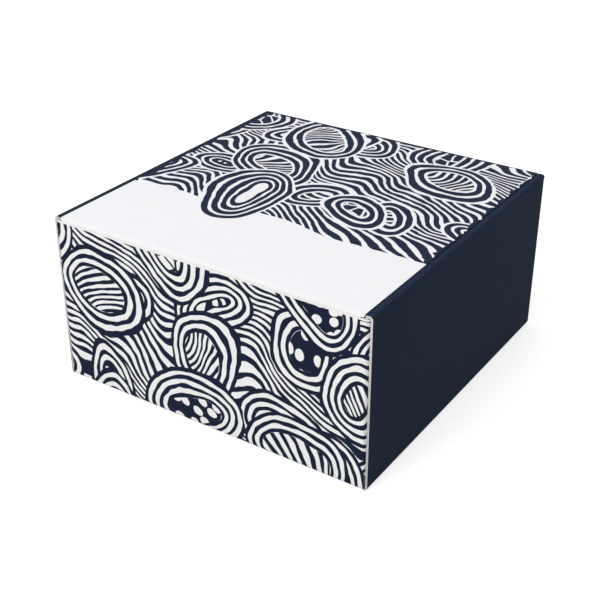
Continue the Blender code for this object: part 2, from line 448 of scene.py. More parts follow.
# %% Helpers: start, print and paint a finish
BARE_PAPER = (0.80, 0.79, 0.77, 1.0)
TO_MM = (1000.0, 1000.0, 1000.0)


def start_finish(name, washboard=0.45, tooth=0.35):
    """A new material with its paper groups placed, and its shader still without a colour."""
    material = bpy.data.materials.new(name)
    material.use_nodes = True
    tree = material.node_tree
    shader = tree.nodes["Principled BSDF"]
    sheet = Wire(put(tree, "ShaderNodeUVMap", uv_map="sheet").outputs[0])
    place = joined("ShaderNodeMapping", {"Vector": sheet, "Scale": TO_MM})
    feed = {"Vector": place, "Washboard": washboard, "Tooth": tooth}
    tone, rough, height = wires(put(tree, "ShaderNodeGroup", feed, node_tree=paper))
    bump = joined("ShaderNodeBump", {"Height": height, "Distance": 0.00003, "Strength": 0.6})
    tree.links.new(bump.socket, shader.inputs["Normal"])
    return SimpleNamespace(material=material, tree=tree, shader=shader, place=place, tone=tone, rough=rough)


def place_print(finish, shift, settings):
    """Lay the stone print on a finish, and read its lines and its field."""
    moved = joined("ShaderNodeMapping", {"Vector": finish.place, "Location": shift})
    return wires(put(finish.tree, "ShaderNodeGroup", {"Vector": moved, **settings}, node_tree=stones))


def uneven_ink(finish, colour):
    """Strokes of ink, a little thinner and thicker from place to place."""
    return tint(colour, noise(finish.place, 0.7, 4.0) * 0.5 + 0.75)


def fold_painted_shade(finish, shade):
    """The paper's tone, painted darker along the folds as painted shade."""
    return finish.tone * (carried(finish.tree, "fold") * shade + 1.0)


def place_wear(finish, amount):
    """Bare paper along cuts and folds, from the numbers that the mesh carries."""
    feed = {"Vector": finish.place, "Cut": carried(finish.tree, "cut"), "Fold": carried(finish.tree, "fold"),
            "Fold Wear": amount}
    return joined("ShaderNodeGroup", feed, node_tree=wear)


def paint(finish, colour, roughness, mirror):
    """Join a colour and a roughness to the shader, and set how much it mirrors."""
    sockets = finish.shader.inputs
    finish.tree.links.new(colour.socket, sockets["Base Color"])
    if isinstance(roughness, Wire):
        finish.tree.links.new(roughness.socket, sockets["Roughness"])
    else:
        sockets["Roughness"].default_value = roughness  # the same all over
    sockets["Specular IOR Level"].default_value = mirror
    print(f"{finish.material.name}: {len(finish.tree.nodes)} nodes")


print("finish helpers ready")

# %% [markdown]
# The side walls, their rolled tops, the back and the lid's side flaps are flooded with navy. A
# flood of ink lies thinner where the liner is rough, so it is mottled a little and keeps a dull
# sheen. Along the folds and over the rolled tops the navy is painted lighter and bluer, as painted
# light from above.

# %% Finish: navy flood
NAVY = (0.0165, 0.0238, 0.0468, 1.0)
# painted light: a lighter, bluer navy for the folds and the rolled tops
NAVY_PAINTED_LIGHT = (0.0198, 0.0300, 0.0620, 1.0)
navy = start_finish("navy_print", washboard=0.55)
mottle = noise(navy.place, 0.5, 4.0, 0.6)
# painted light: where the number fold is high, the navy is painted lighter and bluer
ink = tint(mix(carried(navy.tree, "fold"), NAVY, NAVY_PAINTED_LIGHT), mottle * 0.35 + 0.83)
bare = place_wear(navy, 0.05)
paint(navy, mix(bare, ink, BARE_PAPER), bare * 0.3 + 0.52 + navy.rough, 0.006)

# %% [markdown]
# The front is cream with navy strokes. The print starts a few millimetres under the lid's fold
# and runs round both upright folds, down to the table.

# %% Finish: front print
CREAM = (0.860, 0.857, 0.853, 1.0)
FRONT_INK = (0.0118, 0.0176, 0.0400, 1.0)
FRONT_SHIFT = (311.0, 95.0, 0.0)  # which part of the endless print the front shows
PRINT_DROP = 0.0031  # the first stroke lies this far under the lid's face
front_print = start_finish("front_print")
navy_lines = place_print(front_print, FRONT_SHIFT, {})[0]
under_fold = split(front_print.place)[1] < (HEIGHT - PRINT_DROP) * 1000
# painted shade: the cream is darker along the folds, where they turn away from the light
ground = tint(CREAM, fold_painted_shade(front_print, -0.16))
printed = mix(navy_lines * under_fold, ground, uneven_ink(front_print, FRONT_INK))
bare = place_wear(front_print, 0.12)
paint(front_print, mix(bare, printed, BARE_PAPER), front_print.rough + 0.56, 0.015)

# %% [markdown]
# The lid is the other way round: a navy field with white strokes cut out of it. The field stops
# short of the front and leaves a plain white band. A stone whose middle is in the field is drawn
# whole, so it stands out over the band. Along the sides and the back the strokes stop at a rim
# of plain navy, which is ragged because every stroke ends where the hand left it. The flaps' navy
# flood starts just inside the lid's edge, and the whole print lies a little to the right, as a
# press never lays it down exactly.

# %% Finish: lid print
LID_WHITE = (0.880, 0.876, 0.905, 1.0)
LID_CREAM = (0.825, 0.820, 0.808, 1.0)  # the fold down to the front, which faces less light
LID_INK = (0.0180, 0.0250, 0.0530, 1.0)
WHITE_BAND = 0.31  # the plain band's share of the lid
INK_START = 0.00033  # the flaps' navy starts this much inside the lid's edge
MISREGISTER = 0.00030  # how far to the right the press laid the print
WHITE_BLEND = 1.5  # how far to each side of the fold the two whites blend, in millimetres
RIM_SWAY = 10.0  # how much the rim's width varies, in millimetres,
RIM_SHIFT = -3.6  # and how much of that is taken off
LID_SHIFT = (120.0, 530.0, 0.0)  # which part of the endless print the lid shows
lid_print = start_finish("lid_print")
white_lines, in_field = place_print(lid_print, LID_SHIFT, {
    "Band Spacing": 5.8, "Band Line": 1.95, "Fill Spacing": 4.8, "Fill Line": 1.85, "Pebble": 9.5,
    "Pebble Line": 0.7, "Border": (WHITE_BAND - 0.5) * 2 * HALF_DEPTH * 1000 + LID_SHIFT[1],
})
right_from, back_from = split(lid_print.place)[:2]
out_from = calc("ABSOLUTE", right_from - MISREGISTER * 1000)
rim = noise(lid_print.place, 0.10, 1.0) * RIM_SWAY + RIM_SHIFT
at_side = out_from + rim > lid_half * 1000
at_back = back_from + rim > (HALF_DEPTH - BOARD) * 1000
inked = calc("MAXIMUM", calc("MAXIMUM", at_side, at_back), 1.0 - white_lines)
on_flap = out_from > (lid_half - INK_START) * 1000
field = calc("MAXIMUM", on_flap, in_field * inked)
fold_side = ramp(back_from, WHITE_BLEND - HALF_DEPTH * 1000, -WHITE_BLEND - HALF_DEPTH * 1000)
# painted shade: the white turns to LID_CREAM down the front fold, and is painted darker along the folds
ground = tint(mix(fold_side, LID_WHITE, LID_CREAM), fold_painted_shade(lid_print, -0.07))
printed = mix(field, ground, uneven_ink(lid_print, LID_INK))
bare = place_wear(lid_print, 0.12)
paint(lid_print, mix(bare, printed, BARE_PAPER), lid_print.rough + 0.55, 0.015)

# %% [markdown]
# The tuck flap carries on the white of the lid. The inside of the box is the bare liner, with
# more tooth, stray fibres and a stronger washboard than the coated face.

# %% Finishes: white flood and bare liner
white = start_finish("white_print")
bare = place_wear(white, 0.10)
paint(white, mix(bare, tint(LID_WHITE, white.tone), BARE_PAPER), white.rough + 0.55, 0.5)

LINER = (0.76, 0.74, 0.69, 1.0)
FLECK = (0.55, 0.50, 0.42, 1.0)
liner = start_finish("board_inside", washboard=1.0, tooth=0.9)
stretched = joined("ShaderNodeMapping", {"Vector": liner.place, "Scale": (0.35, 1.6, 1.0)})
flecks = ramp(noise(stretched, 1.3, 6.0, 0.7), 0.62, 0.78, high=0.35)
paint(liner, mix(flecks, tint(LINER, liner.tone), FLECK), liner.rough + 0.80, 0.20)

# %% [markdown]
# A cut edge shows what the board is made of: two liners with a wavy paper between them. The
# mesh carries a number, ply, that is 0 at the printed face and 1 at the inside face, so the wave
# can be drawn across the thickness. The hollows between them are painted grey, as painted shade.
# The knife pinches the edge, so the hollows are shallow. A fold opens them again, and the painted
# shade is darkest there. The edge is painted darker towards the table, as painted shade.

# %% Finish: cut edge
CUT_BOARD = (0.80, 0.80, 0.79, 1.0)
# painted shade in the flute hollows: grey where the knife pinched them, near black where a fold opens them
SHALLOW_HOLLOW_SHADE = (0.46, 0.44, 0.40, 1.0)
DEEP_HOLLOW_SHADE = (0.08, 0.07, 0.06, 1.0)
cut_edge = start_finish("cut_edge", washboard=0.0, tooth=1.0)
ply = carried(cut_edge.tree, "ply")
opened = carried(cut_edge.tree, "fold")
crest = calc("SINE", split(cut_edge.place)[1] * (math.tau / FLUTE_PITCH))
on_medium = ramp(calc("ABSOLUTE", ply - (crest * 0.27 + 0.5)), 0.20, 0.11)
on_liner = ramp(calc("MINIMUM", ply, 1.0 - ply), 0.24, 0.17)
crushed = ramp(noise(cut_edge.place, 1.1, 4.0, 0.7), 0.48, 0.66, high=0.8)
full = calc("MAXIMUM", calc("MAXIMUM", on_medium, on_liner), crushed * (1.0 - opened))
up = split(Wire(put(cut_edge.tree, "ShaderNodeTexCoord").outputs["Object"]))[2]
# painted shade: the cut edge is darker towards the table
low_painted_shade = ramp(up, 0.0, HEIGHT, 0.62, 0.97)
board_colour = mix(full, mix(opened, SHALLOW_HOLLOW_SHADE, DEEP_HOLLOW_SHADE), tint(CUT_BOARD, cut_edge.tone))
paint(cut_edge, tint(board_colour, low_painted_shade), 0.9, 0.15)

# %% [markdown]
# ## Board in cross-section
# A folded panel is easiest to draw from its end: a chain of points that runs straight and turns
# at each fold. A run extrudes the last point, and a fold spins it round the fold's centre. The
# chain also paces out its own length, which is how far the sheet reaches when it lies flat. That
# length becomes the print's map, so the print bends with the board.

# %% Helpers: chains
FOLD = 0.0020  # outside radius of a fold
FOLD_STEPS = 10
FRAY = 0.00035  # how far the lifted fibres reach from a cut
NEAR = 1e-6  # two places closer than this are the same
ALONG_X = Vector((1.0, 0.0, 0.0))
ALONG_Y = Vector((0.0, 1.0, 0.0))
SIDES = (("left", -1), ("right", 1))


def new_board():
    """An empty mesh whose points can hold a place on the sheet, a ply, and wear."""
    bm = bmesh.new()
    for label in ("across", "along", "ply", "cut", "fold"):
        bm.verts.layers.float.new(label)
    return bm


def trace(bm, start, moves, mark=0.0, direction=1.0, ply=0.0):
    """Draw a chain of runs, (vector, steps), and folds, (centre, axis, degrees, steps)."""
    layers = bm.verts.layers.float
    tip = bm.verts.new(start)
    tip[layers["along"]] = mark
    chain = [tip]
    for *move, steps in moves:
        for step in range(steps):
            if len(move) == 1:
                new = bmesh.ops.extrude_vert_indiv(bm, verts=[tip])["verts"][0]
                new.co += Vector(move[0]) / steps
                bent = 0.0
            else:
                centre, axis, degrees = move
                turned = bmesh.ops.spin(bm, geom=[tip], cent=centre, axis=axis,
                                        angle=math.radians(degrees) / steps, steps=1)
                new = turned["geom_last"][0]
                bent = math.sin(math.pi * (step + 1) / steps)
            new[layers["along"]] = tip[layers["along"]] + direction * (new.co - tip.co).length
            new[layers["fold"]] = bent
            tip = new
            chain.append(tip)
    for point in chain:
        point[layers["ply"]] = ply
    return chain


def chain_edges(chain):
    """The edges between the neighbours of a chain."""
    return [next(e for e in a.link_edges if e.other_vert(a) is b) for a, b in zip(chain, chain[1:])]


print("fold radius in mm:", FOLD * 1000)

# %% [markdown]
# A board can be had from chains in two ways. One chain pulled sideways gives a shell without
# thickness, which the Solidify modifier makes as thick as the board. Two chains, for the printed
# and the inside face, close into a cross-section, and that is pulled sideways. The second way
# allows a fold that is crisp inside and round outside. Both leave a narrow ring at each cut end.

# %% Helpers: pull chains into boards
def only(geometry, kind):
    """The points, edges or faces among what an operator gave back."""
    return [item for item in geometry if isinstance(item, kind)]


def in_rings(vector):
    """Split a pull into a ring for the lifted fibres, the long middle, and another ring."""
    ring = Vector(vector).normalized() * FRAY
    return ring, Vector(vector) - 2 * ring, ring


def pull(bm, edges, vector):
    """Pull a chain into a shell."""
    for part in in_rings(vector):
        pulled = bmesh.ops.extrude_edge_only(bm, edges=edges)["geom"]
        moved = only(pulled, bmesh.types.BMVert)
        bmesh.ops.translate(bm, verts=moved, vec=part)
        edges = [e for e in only(pulled, bmesh.types.BMEdge) if all(v in moved for v in e.verts)]


def section(bm, outer, inner):
    """Close two chains into a cross-section: quads where their counts match, or else one face."""
    if len(outer) == len(inner):
        return bmesh.ops.bridge_loops(bm, edges=chain_edges(outer) + chain_edges(inner))["faces"]
    return [bm.faces.new(outer + inner[::-1])]


def push(bm, faces, vector, keep=False):
    """Extrude faces, and give back the moved ones. The old ones would be walls inside the board."""
    pulled = bmesh.ops.extrude_face_region(bm, geom=faces)["geom"]
    if not keep:
        bmesh.ops.delete(bm, geom=faces, context="FACES")
    bmesh.ops.translate(bm, verts=only(pulled, bmesh.types.BMVert), vec=vector)
    return only(pulled, bmesh.types.BMFace)


def pull_solid(bm, faces, parts):
    """Pull a cross-section into a closed board, one part of the way after another."""
    for number, part in enumerate(parts):
        faces = push(bm, faces, part, keep=number == 0)


def cut_across(bm, axis, *places):
    """Cut a mesh across at places on an axis, and keep both sides."""
    for place in places:
        plane = {"plane_co": Vector(), "plane_no": Vector()}
        plane["plane_co"][axis] = place
        plane["plane_no"][axis] = 1.0
        bmesh.ops.bisect_plane(bm, geom=bm.verts[:] + bm.edges[:] + bm.faces[:], **plane)


def mark_cut(bm, axis, *ends):
    """Points at an end on an axis lie on a cut, and the others don't."""
    layer = bm.verts.layers.float["cut"]
    for point in bm.verts:
        point[layer] = float(any(abs(point.co[axis] - end) < NEAR for end in ends))


print("pulling helpers ready")

# %% [markdown]
# Solidify puts the shell's inside points in a vertex group, and that group becomes the number
# ply. A face whose points are all printed gets the print, one with only inside points the bare
# liner, and a face with both is a cut edge. The knife leaves no sharp corner, so a small bevel
# rounds every edge between two cuts.

# %% Helpers: thicken and finish
KNIFE_ROUND = 0.00010  # the round of a cut corner
SHARP_ANGLE = math.radians(60)  # an edge that the bevel rounds
SHADE_ANGLE = math.radians(21)  # an edge that the shading keeps


def to_object(bm, name):
    """Make an object of a bmesh."""
    mesh = bpy.data.meshes.new(name)
    bm.to_mesh(mesh)
    bm.free()
    return add_object(name, mesh)


def thicken(bm, outside, name, folded=True):
    """Turn the shell's faces to the outside, then give it the thickness of the board."""
    largest = max(bm.faces, key=lambda face: face.calc_area())
    largest.normal_update()
    if largest.normal.dot(Vector(outside)) < 0:
        bmesh.ops.reverse_faces(bm, faces=bm.faces)
    piece = to_object(bm, name)
    piece.vertex_groups.new(name="inside")
    solidify = piece.modifiers.new("board", "SOLIDIFY")
    solidify.thickness = BOARD
    solidify.offset = -1.0
    solidify.use_even_offset = folded
    solidify.shell_vertex_group = "inside"
    bpy.context.view_layer.update()
    thick = bmesh.new()
    thick.from_mesh(piece.evaluated_get(bpy.context.evaluated_depsgraph_get()).to_mesh())
    inside = thick.verts.layers.deform.verify()
    for point in thick.verts:
        point[thick.verts.layers.float["ply"]] = float(0 in point[inside].keys())
    thick.verts.layers.deform.remove(inside)
    bpy.data.objects.remove(piece)
    return thick


def finish_board(bm, name, printed, body=None, across=None, edge_round=KNIFE_ROUND):
    """Give the board its sheet map and its three materials, and hand it to a body."""
    layers = bm.verts.layers.float
    if across is not None:
        for point in bm.verts:
            point[layers["across"]] = point.co.dot(across)
    sharp = [e for e in bm.edges if e.is_manifold and e.calc_face_angle(0.0) > SHARP_ANGLE
             and all(v[layers["cut"]] > 0.5 for v in e.verts)]
    if edge_round:
        bmesh.ops.bevel(bm, geom=sharp, offset=edge_round, offset_type="OFFSET", segments=2,
                        profile=0.5, affect="EDGES", material=-1, clamp_overlap=True)
    sheet_map = bm.loops.layers.uv.new("sheet")
    for face in bm.faces:
        plies = [v[layers["ply"]] for v in face.verts]
        face.material_index = 0 if max(plies) < 0.5 else 1 if min(plies) > 0.5 else 2
        face.smooth = True
        for loop in face.loops:
            loop[sheet_map].uv = (loop.vert[layers["across"]], loop.vert[layers["along"]])
    piece = to_object(bm, name)
    for finish in (printed, liner, cut_edge):
        piece.data.materials.append(finish.material)
    piece.data.set_sharp_from_angle(angle=SHADE_ANGLE)
    if body is not None:
        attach(piece, body)
    print(name, len(piece.data.polygons), "faces")
    return piece


print("finishing helpers ready")

# %% [markdown]
# ## Side walls
# Each side wall is folded up from the base, rolled over at the top, and tucked down inside. The
# outer ply is one chain, pulled from front to back and thickened.

# %% Outer side walls
ROLL_SINK = 0.0003  # the lid stands this much higher than the rolled walls
SEAM_DROP = 0.0026  # the roll is a piece of its own from here up
SUPPORT = 0.0004  # a short run beside a fold keeps the flat part flat
ROLL_TOP = HEIGHT - ROLL_SINK
ROLL_SEAM = HEIGHT - SEAM_DROP
for side, sign in SIDES:
    fold_x = sign * (HALF_WIDTH - FOLD)
    bm = new_board()
    chain = trace(bm, (fold_x, -wall_back, 0.0), [
        ((fold_x, -wall_back, FOLD), ALONG_Y, -90 * sign, FOLD_STEPS),
        ((0, 0, SUPPORT), 1),
        ((0, 0, ROLL_SEAM - FOLD - SUPPORT), 1),
    ])
    pull(bm, chain_edges(chain), (0, 2 * wall_back, 0))
    mark_cut(bm, 1, -wall_back, wall_back)
    bm = thicken(bm, (sign, 0, 0), "outer")
    piece = finish_board(bm, f"{side}_side_board", navy, "box", ALONG_Y)
    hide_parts(f"{side}_outer_wall")

# %% [markdown]
# The roll's two raw ends are what shows at the front corner, with their flutes pulled open. Its
# outside fold is round and its inside fold is creased hard, and the narrow top between them bulges
# a little towards the lid. So it is a closed cross-section, of a printed chain and a plain one.
# Its top is painted lighter through the number fold, as painted light from above: most at the crown, and
# nothing lower down.

# %% Rolled tops
ROLL_OUTER = 0.0017  # the roll's outside fold
CRISP = 0.0006  # outside radius of folds that are creased hard
ROLL_BULGE = 0.00045  # how far the inside fold bulges towards the lid
ROLL_DROP = 0.00205  # how far the roll comes down inside to meet the inner wall
ROLL_PAST = 0.0006  # how far the roll's back end goes on past the outer ply
TOP_PAINTED_LIGHT = 0.8  # how much painted light the top gets, nearly as much as a fold
roll_back = wall_back + ROLL_PAST
roll_width = roll_high.x - roll_low.x + ROLL_BULGE
for side, sign in SIDES:
    x_out = sign * HALF_WIDTH
    bm = new_board()
    shoulder_at = (x_out - sign * ROLL_OUTER, -wall_back, ROLL_TOP - ROLL_OUTER)
    shoulder = (shoulder_at, ALONG_Y, -90 * sign, FOLD_STEPS)
    rise = ((0, 0, ROLL_TOP - ROLL_OUTER - ROLL_SEAM), 1)
    inside_at = (x_out - sign * (roll_width - CRISP), -wall_back, ROLL_TOP - CRISP)
    outer = trace(bm, (x_out, -wall_back, ROLL_SEAM), [
        rise,
        shoulder,
        ((-sign * (roll_width - ROLL_OUTER - CRISP), 0, 0), 1),
        (inside_at, ALONG_Y, -90 * sign, FOLD_STEPS),
        ((sign * ROLL_BULGE, 0, CRISP - ROLL_DROP), 1),
    ], mark=ROLL_SEAM)
    inner = trace(bm, (x_out - sign * BOARD, -wall_back, ROLL_SEAM), [
        rise,
        shoulder,
        ((-sign * (roll_width - ROLL_OUTER - BOARD), 0, 0), 1 + FOLD_STEPS // 2),
        ((sign * ROLL_BULGE, 0, BOARD - ROLL_DROP), 1 + FOLD_STEPS // 2),
    ], mark=ROLL_SEAM, ply=1.0)
    pull_solid(bm, section(bm, outer, inner), in_rings((0, wall_back + roll_back, 0)))
    mark_cut(bm, 1, -wall_back, roll_back)
    # painted light: the number fold rises towards the crown, so the navy there is painted lighter and bluer;
    # the same number also gives wear and darker hollows at the cut ends
    for point in bm.verts:
        up = max(0.0, (point.co.z - ROLL_TOP + ROLL_OUTER) / ROLL_OUTER)
        point[bm.verts.layers.float["fold"]] = TOP_PAINTED_LIGHT * up * up
    bmesh.ops.recalc_face_normals(bm, faces=bm.faces)
    piece = finish_board(bm, f"{side}_roll_board", navy, "box", ALONG_Y)
    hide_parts(f"{side}_roll_top")

# %% [markdown]
# ## Flat panels
# Panels with no fold of their own are cut to an outline: a few corner points, one face, corners
# rounded by a bevel on the points, and a narrow inset ring for the lifted fibres. A seam is a side
# where the sheet runs on into the next piece, so it isn't a cut.

# %% Helper: a cut panel
CORNER_REACH = 0.9  # a corner's curve starts this share of its radius from the point


def upright(x):
    """Stand a panel up at x, with its own two directions along Y and Z."""
    return lambda a, b: Vector((x, a, b))


def cut_panel(name, corners, place, outside, printed, body, seams=()):
    """Corners are (a, b, radius) on the panel, and place puts (a, b) in the box."""
    bm = new_board()
    layers = bm.verts.layers.float
    points = [(bm.verts.new(place(a, b)), radius) for a, b, radius in corners]
    bm.faces.new([point for point, radius in points])
    for size in sorted({radius for point, radius in points if radius}):
        rounded = [point for point, radius in points if radius == size]
        bmesh.ops.bevel(bm, geom=rounded, offset=size * CORNER_REACH, offset_type="OFFSET",
                        segments=8, profile=0.5, affect="VERTICES", material=-1)
    bm.normal_update()
    bmesh.ops.inset_region(bm, faces=bm.faces, thickness=FRAY, use_boundary=True, use_even_offset=True)
    start = place(0.0, 0.0)
    steps = {"across": place(1.0, 0.0) - start, "along": place(0.0, 1.0) - start}
    for point in bm.verts:
        for label, step in steps.items():
            point[layers[label]] = (point.co - start).dot(step)
        on_seam = any(abs(point[layers[label]] - line) < NEAR for label, line in seams)
        point[layers["cut"]] = float(point.is_boundary and not on_seam)
    bm = thicken(bm, outside, name, folded=False)
    return finish_board(bm, name, printed, body)


print("cut panels ready")

# %% [markdown]
# The inner walls end in two locking tabs that reach down into slots in the base. Their places are
# the solids', and the roll's inside fold ends where this panel starts.

# %% Inner walls with their tabs
TAB_LENGTH = 0.032
TAB_SPACING = 0.104
TAB_ROUND = 0.002
FOOT_PLAY = 0.0001
wall_foot = BOARD + FOOT_PLAY
wall_end = inner_high.y
wall_top = ROLL_TOP - ROLL_DROP
tabs = [(middle - TAB_LENGTH / 2, middle + TAB_LENGTH / 2) for middle in (-TAB_SPACING / 2, TAB_SPACING / 2)]
outline = [(-wall_end, wall_foot, 0)]
for near, far in tabs:
    outline += [(near, wall_foot, 0), (near, inner_low.z, TAB_ROUND),
                (far, inner_low.z, TAB_ROUND), (far, wall_foot, 0)]
outline += [(wall_end, wall_foot, 0), (wall_end, wall_top, 0), (-wall_end, wall_top, 0)]
for side, sign in SIDES:
    piece = cut_panel(f"{side}_inner_board", outline, upright(sign * inner_low.x), (-sign, 0, 0), navy,
                      "box", seams=[("along", wall_top)])
    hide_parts(f"{side}_inner_wall")

# %% [markdown]
# The base has a slot for each tab, open to the fold. Its outside is bare board too. All four of
# its sides are seams.

# %% Base
SLOT_PLAY = 0.0004
base_x = HALF_WIDTH - FOLD
base_y = HALF_DEPTH - FOLD
slot_x = inner_low.x - SLOT_PLAY
outline = []
for turn in (1, -1):
    outline.append((turn * base_x, -turn * base_y, 0))
    for near, far in tabs:
        edges = (turn * (near - SLOT_PLAY), turn * (far + SLOT_PLAY))
        outline += [(turn * base_x, edges[0], 0), (turn * slot_x, edges[0], 0),
                    (turn * slot_x, edges[1], 0), (turn * base_x, edges[1], 0)]
    outline.append((turn * base_x, turn * base_y, 0))
seams = [(label, turn * line) for label, line in (("across", base_x), ("along", base_y)) for turn in (-1, 1)]
piece = cut_panel("bottom_board", outline, lambda a, b: Vector((a, b, 0.0)), (0, 0, -1), liner, "box", seams)
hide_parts("bottom_panel")

# %% [markdown]
# ## Front and back walls
# These are folded on three sides: up from the base, and back at both ends into the corner flaps.
# A box with two faces taken off is a tray. A bevel rounds its three folded edges, and the
# corners where two folds meet are cut out, as the die cuts a small notch there. The map is
# unrolled here point by point: on a fold, the sheet's length is the radius times the turn.

# %% Front and back walls
CORNER_RUN = 0.0009  # how far the wall's own piece goes on past its upright folds
FRONT_DROP = 0.0021  # how far the front wall's raw top lies under the lid's face
for label, sign, printed, top, slot_name in (
    ("front", -1, front_print, HEIGHT - FRONT_DROP, "front_print"),
    ("back", 1, navy, HEIGHT - 2 * BOARD, "navy_print"),
):
    bm = new_board()
    layers = bm.verts.layers.float
    face_y = sign * HALF_DEPTH
    flat_x = end_half - FOLD
    depth = FOLD + CORNER_RUN
    bmesh.ops.create_cube(bm, size=1.0)
    bmesh.ops.scale(bm, vec=(2 * end_half, depth, top), verts=bm.verts)
    bmesh.ops.translate(bm, vec=(0.0, face_y - sign * depth / 2, top / 2), verts=bm.verts)
    gone = [f for f in bm.faces if f.normal.z > 0.9 or f.normal.y * sign < -0.9]  # top and back
    bmesh.ops.delete(bm, geom=gone, context="FACES")
    folded = [e for e in bm.edges if all(abs(v.co.y - face_y) < NEAR for v in e.verts)
              and not all(v.co.z > top - NEAR for v in e.verts)]
    bmesh.ops.bevel(bm, geom=folded, offset=FOLD, offset_type="OFFSET", segments=FOLD_STEPS,
                    profile=0.5, affect="EDGES", material=-1)
    middles = [(f, f.calc_center_median()) for f in bm.faces]
    notch = [f for f, middle in middles
             if middle.z < FOLD and (abs(middle.x) > flat_x or abs(middle.y) < HALF_DEPTH - FOLD)]
    bmesh.ops.delete(bm, geom=notch, context="FACES")
    cut_across(bm, 0, SUPPORT - flat_x, flat_x - SUPPORT)
    cut_across(bm, 2, FOLD + SUPPORT, top - FRAY)
    for point in bm.verts:
        x, y, z = point.co
        sink = HALF_DEPTH - abs(y)
        turn_x = math.atan2(max(0.0, abs(x) - flat_x), max(0.0, FOLD - sink))
        turn_z = math.atan2(max(0.0, FOLD - z), max(0.0, FOLD - sink))
        past = max(0.0, sink - FOLD)
        point[layers["across"]] = math.copysign(min(abs(x), flat_x) + FOLD * turn_x + past, x)
        point[layers["along"]] = max(z, FOLD) - FOLD * turn_z
        point[layers["fold"]] = math.sin(2 * (turn_x or turn_z))
    mark_cut(bm, 2, top)
    bm = thicken(bm, (0, sign, 0), label)
    piece = finish_board(bm, f"{label}_board", printed, "box")
    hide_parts(f"{label}_wall")

# %% [markdown]
# The four corner flaps go on from the upright folds and lie between the plies of the side walls.

# %% Corner flaps
FLAP_TAPER = 0.007
FLAP_ROUND = 0.004
for end, end_sign, printed in (("front", -1, front_print), ("back", 1, navy)):
    flap_start = end_sign * (HALF_DEPTH - FOLD - CORNER_RUN)
    flap_tip = end_sign * min(abs(corner_low.y), abs(corner_high.y))
    outline = [
        (flap_start, corner_low.z, 0),
        (flap_tip, corner_low.z + FLAP_TAPER, FLAP_ROUND),
        (flap_tip, corner_high.z - FLAP_TAPER, FLAP_ROUND),
        (flap_start, corner_high.z, 0),
    ]
    for side, sign in SIDES:
        piece = cut_panel(f"{end}_{side}_corner_board", outline, upright(sign * corner_high.x), (sign, 0, 0),
                          printed, "box", seams=[("across", flap_start)])
        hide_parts(f"{end}_{side}_corner_flap")

# %% [markdown]
# ## Lid
# The lid turns on a crease along the back wall, and carries three more. The model's joints say
# where the creases are, so the strips of board that bend are placed from them.

# %% Measure the creases
joints = {joint["name"]: joint for joint in frame["joints"]}
hinge_y, hinge_z = joints["lid_hinge"]["pos_m"][1:]
tuck_y, tuck_z = joints["tuck_flap_fold"]["pos_m"][1:]
side_x, side_z = joints["right_side_flap_fold"]["pos_m"][::2]
print("creases in mm:", [round(v * 1000, 1) for v in (hinge_y, hinge_z, tuck_y, tuck_z, side_x, side_z)])

# %% [markdown]
# The lid is a closed cross-section too: the printed chain has the front fold, and the inside one
# runs straight. The board is crushed by its crease there and stands a little thicker, so the fold
# comes down over the raw top of the front wall. At its two ends the fold is pinched thin, and
# the printed liner wraps over the cut unbroken. Between the side flaps' two ends the lid stops
# short, and their crease strips go on from it.

# %% Lid panel
LEG = BOARD  # how far a crease's own strip reaches to each side
NOSE = 0.0020  # outside radius of the crushed front fold
PINCH = 0.0008  # how far the ends of the fold take to get thin
LID_ROUND = 0.00030  # the round where the liner wraps over a cut
main_half = side_x - LEG
lid_rear = HALF_DEPTH - 2 * LEG
lid_under = HEIGHT - BOARD
nose_y = NOSE - HALF_DEPTH
squeeze = (NOSE - BOARD) / NOSE
flap_front, flap_back = flap_low.y, flap_high.y


def close_ends(piece):
    """Wrap the printed liner over a piece's two ends."""
    for face in piece.data.polygons:
        if abs(face.normal.x) > 0.7:  # it looks out at an end
            face.material_index = 0
    for point in piece.data.attributes["cut"].data:
        point.value = 0.0


bm = new_board()
outer = trace(bm, (-main_half, lid_rear, HEIGHT), [
    ((0, nose_y + SUPPORT - lid_rear, 0), 1),
    ((0, -SUPPORT, 0), 1),
    ((-main_half, nose_y, HEIGHT - NOSE), ALONG_X, 90, FOLD_STEPS),
    ((0, tuck_y - BOARD + HALF_DEPTH, 0), 1),
    ((0, 0, NOSE - BOARD), 1),
], mark=lid_rear, direction=-1.0)
straight = [((0, tuck_y - lid_rear, 0), 1)]
inner = trace(bm, (-main_half, lid_rear, lid_under), straight, mark=lid_rear, direction=-1.0, ply=1.0)
pull_solid(bm, section(bm, outer, inner), [Vector((2 * main_half, 0, 0))])
cut_across(bm, 1, flap_front, flap_back)
cut_across(bm, 0, SUPPORT - main_half, main_half - SUPPORT)
for sign in (-1, 1):
    ends = [f for f in bm.faces if all(abs(v.co.x - sign * main_half) < NEAR for v in f.verts)
            and not flap_front < f.calc_center_median().y < flap_back]
    ends = push(bm, ends, (sign * PINCH, 0, 0))
    for point in {v for f in ends for v in f.verts if v.co.y < nose_y + NEAR}:
        point.co.z = max(point.co.z + (HEIGHT - point.co.z) * squeeze, lid_under)
    for length in (lid_half - main_half - PINCH - FRAY, FRAY):
        ends = push(bm, ends, (sign * length, 0, 0))
mark_cut(bm, 0, -lid_half, lid_half)
bmesh.ops.recalc_face_normals(bm, faces=bm.faces)
piece = finish_board(bm, "lid_board", lid_print, "lid", ALONG_X, LID_ROUND)
close_ends(piece)
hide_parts("lid_panel")

# %% [markdown]
# ## Creases
# A crease is a strip of the same board that bends when the joint turns. Each strip is its own
# piece, blended between the two bodies that the joint joins, so the print stretches over the
# fold and no gap opens. The steps round the fold are what lets it bend smoothly. The first one
# joins the lid to the back wall.

# %% The lid's crease
LEG_STEPS = 3
INNER_STEPS = (2 * LEG_STEPS + FOLD_STEPS) // 2


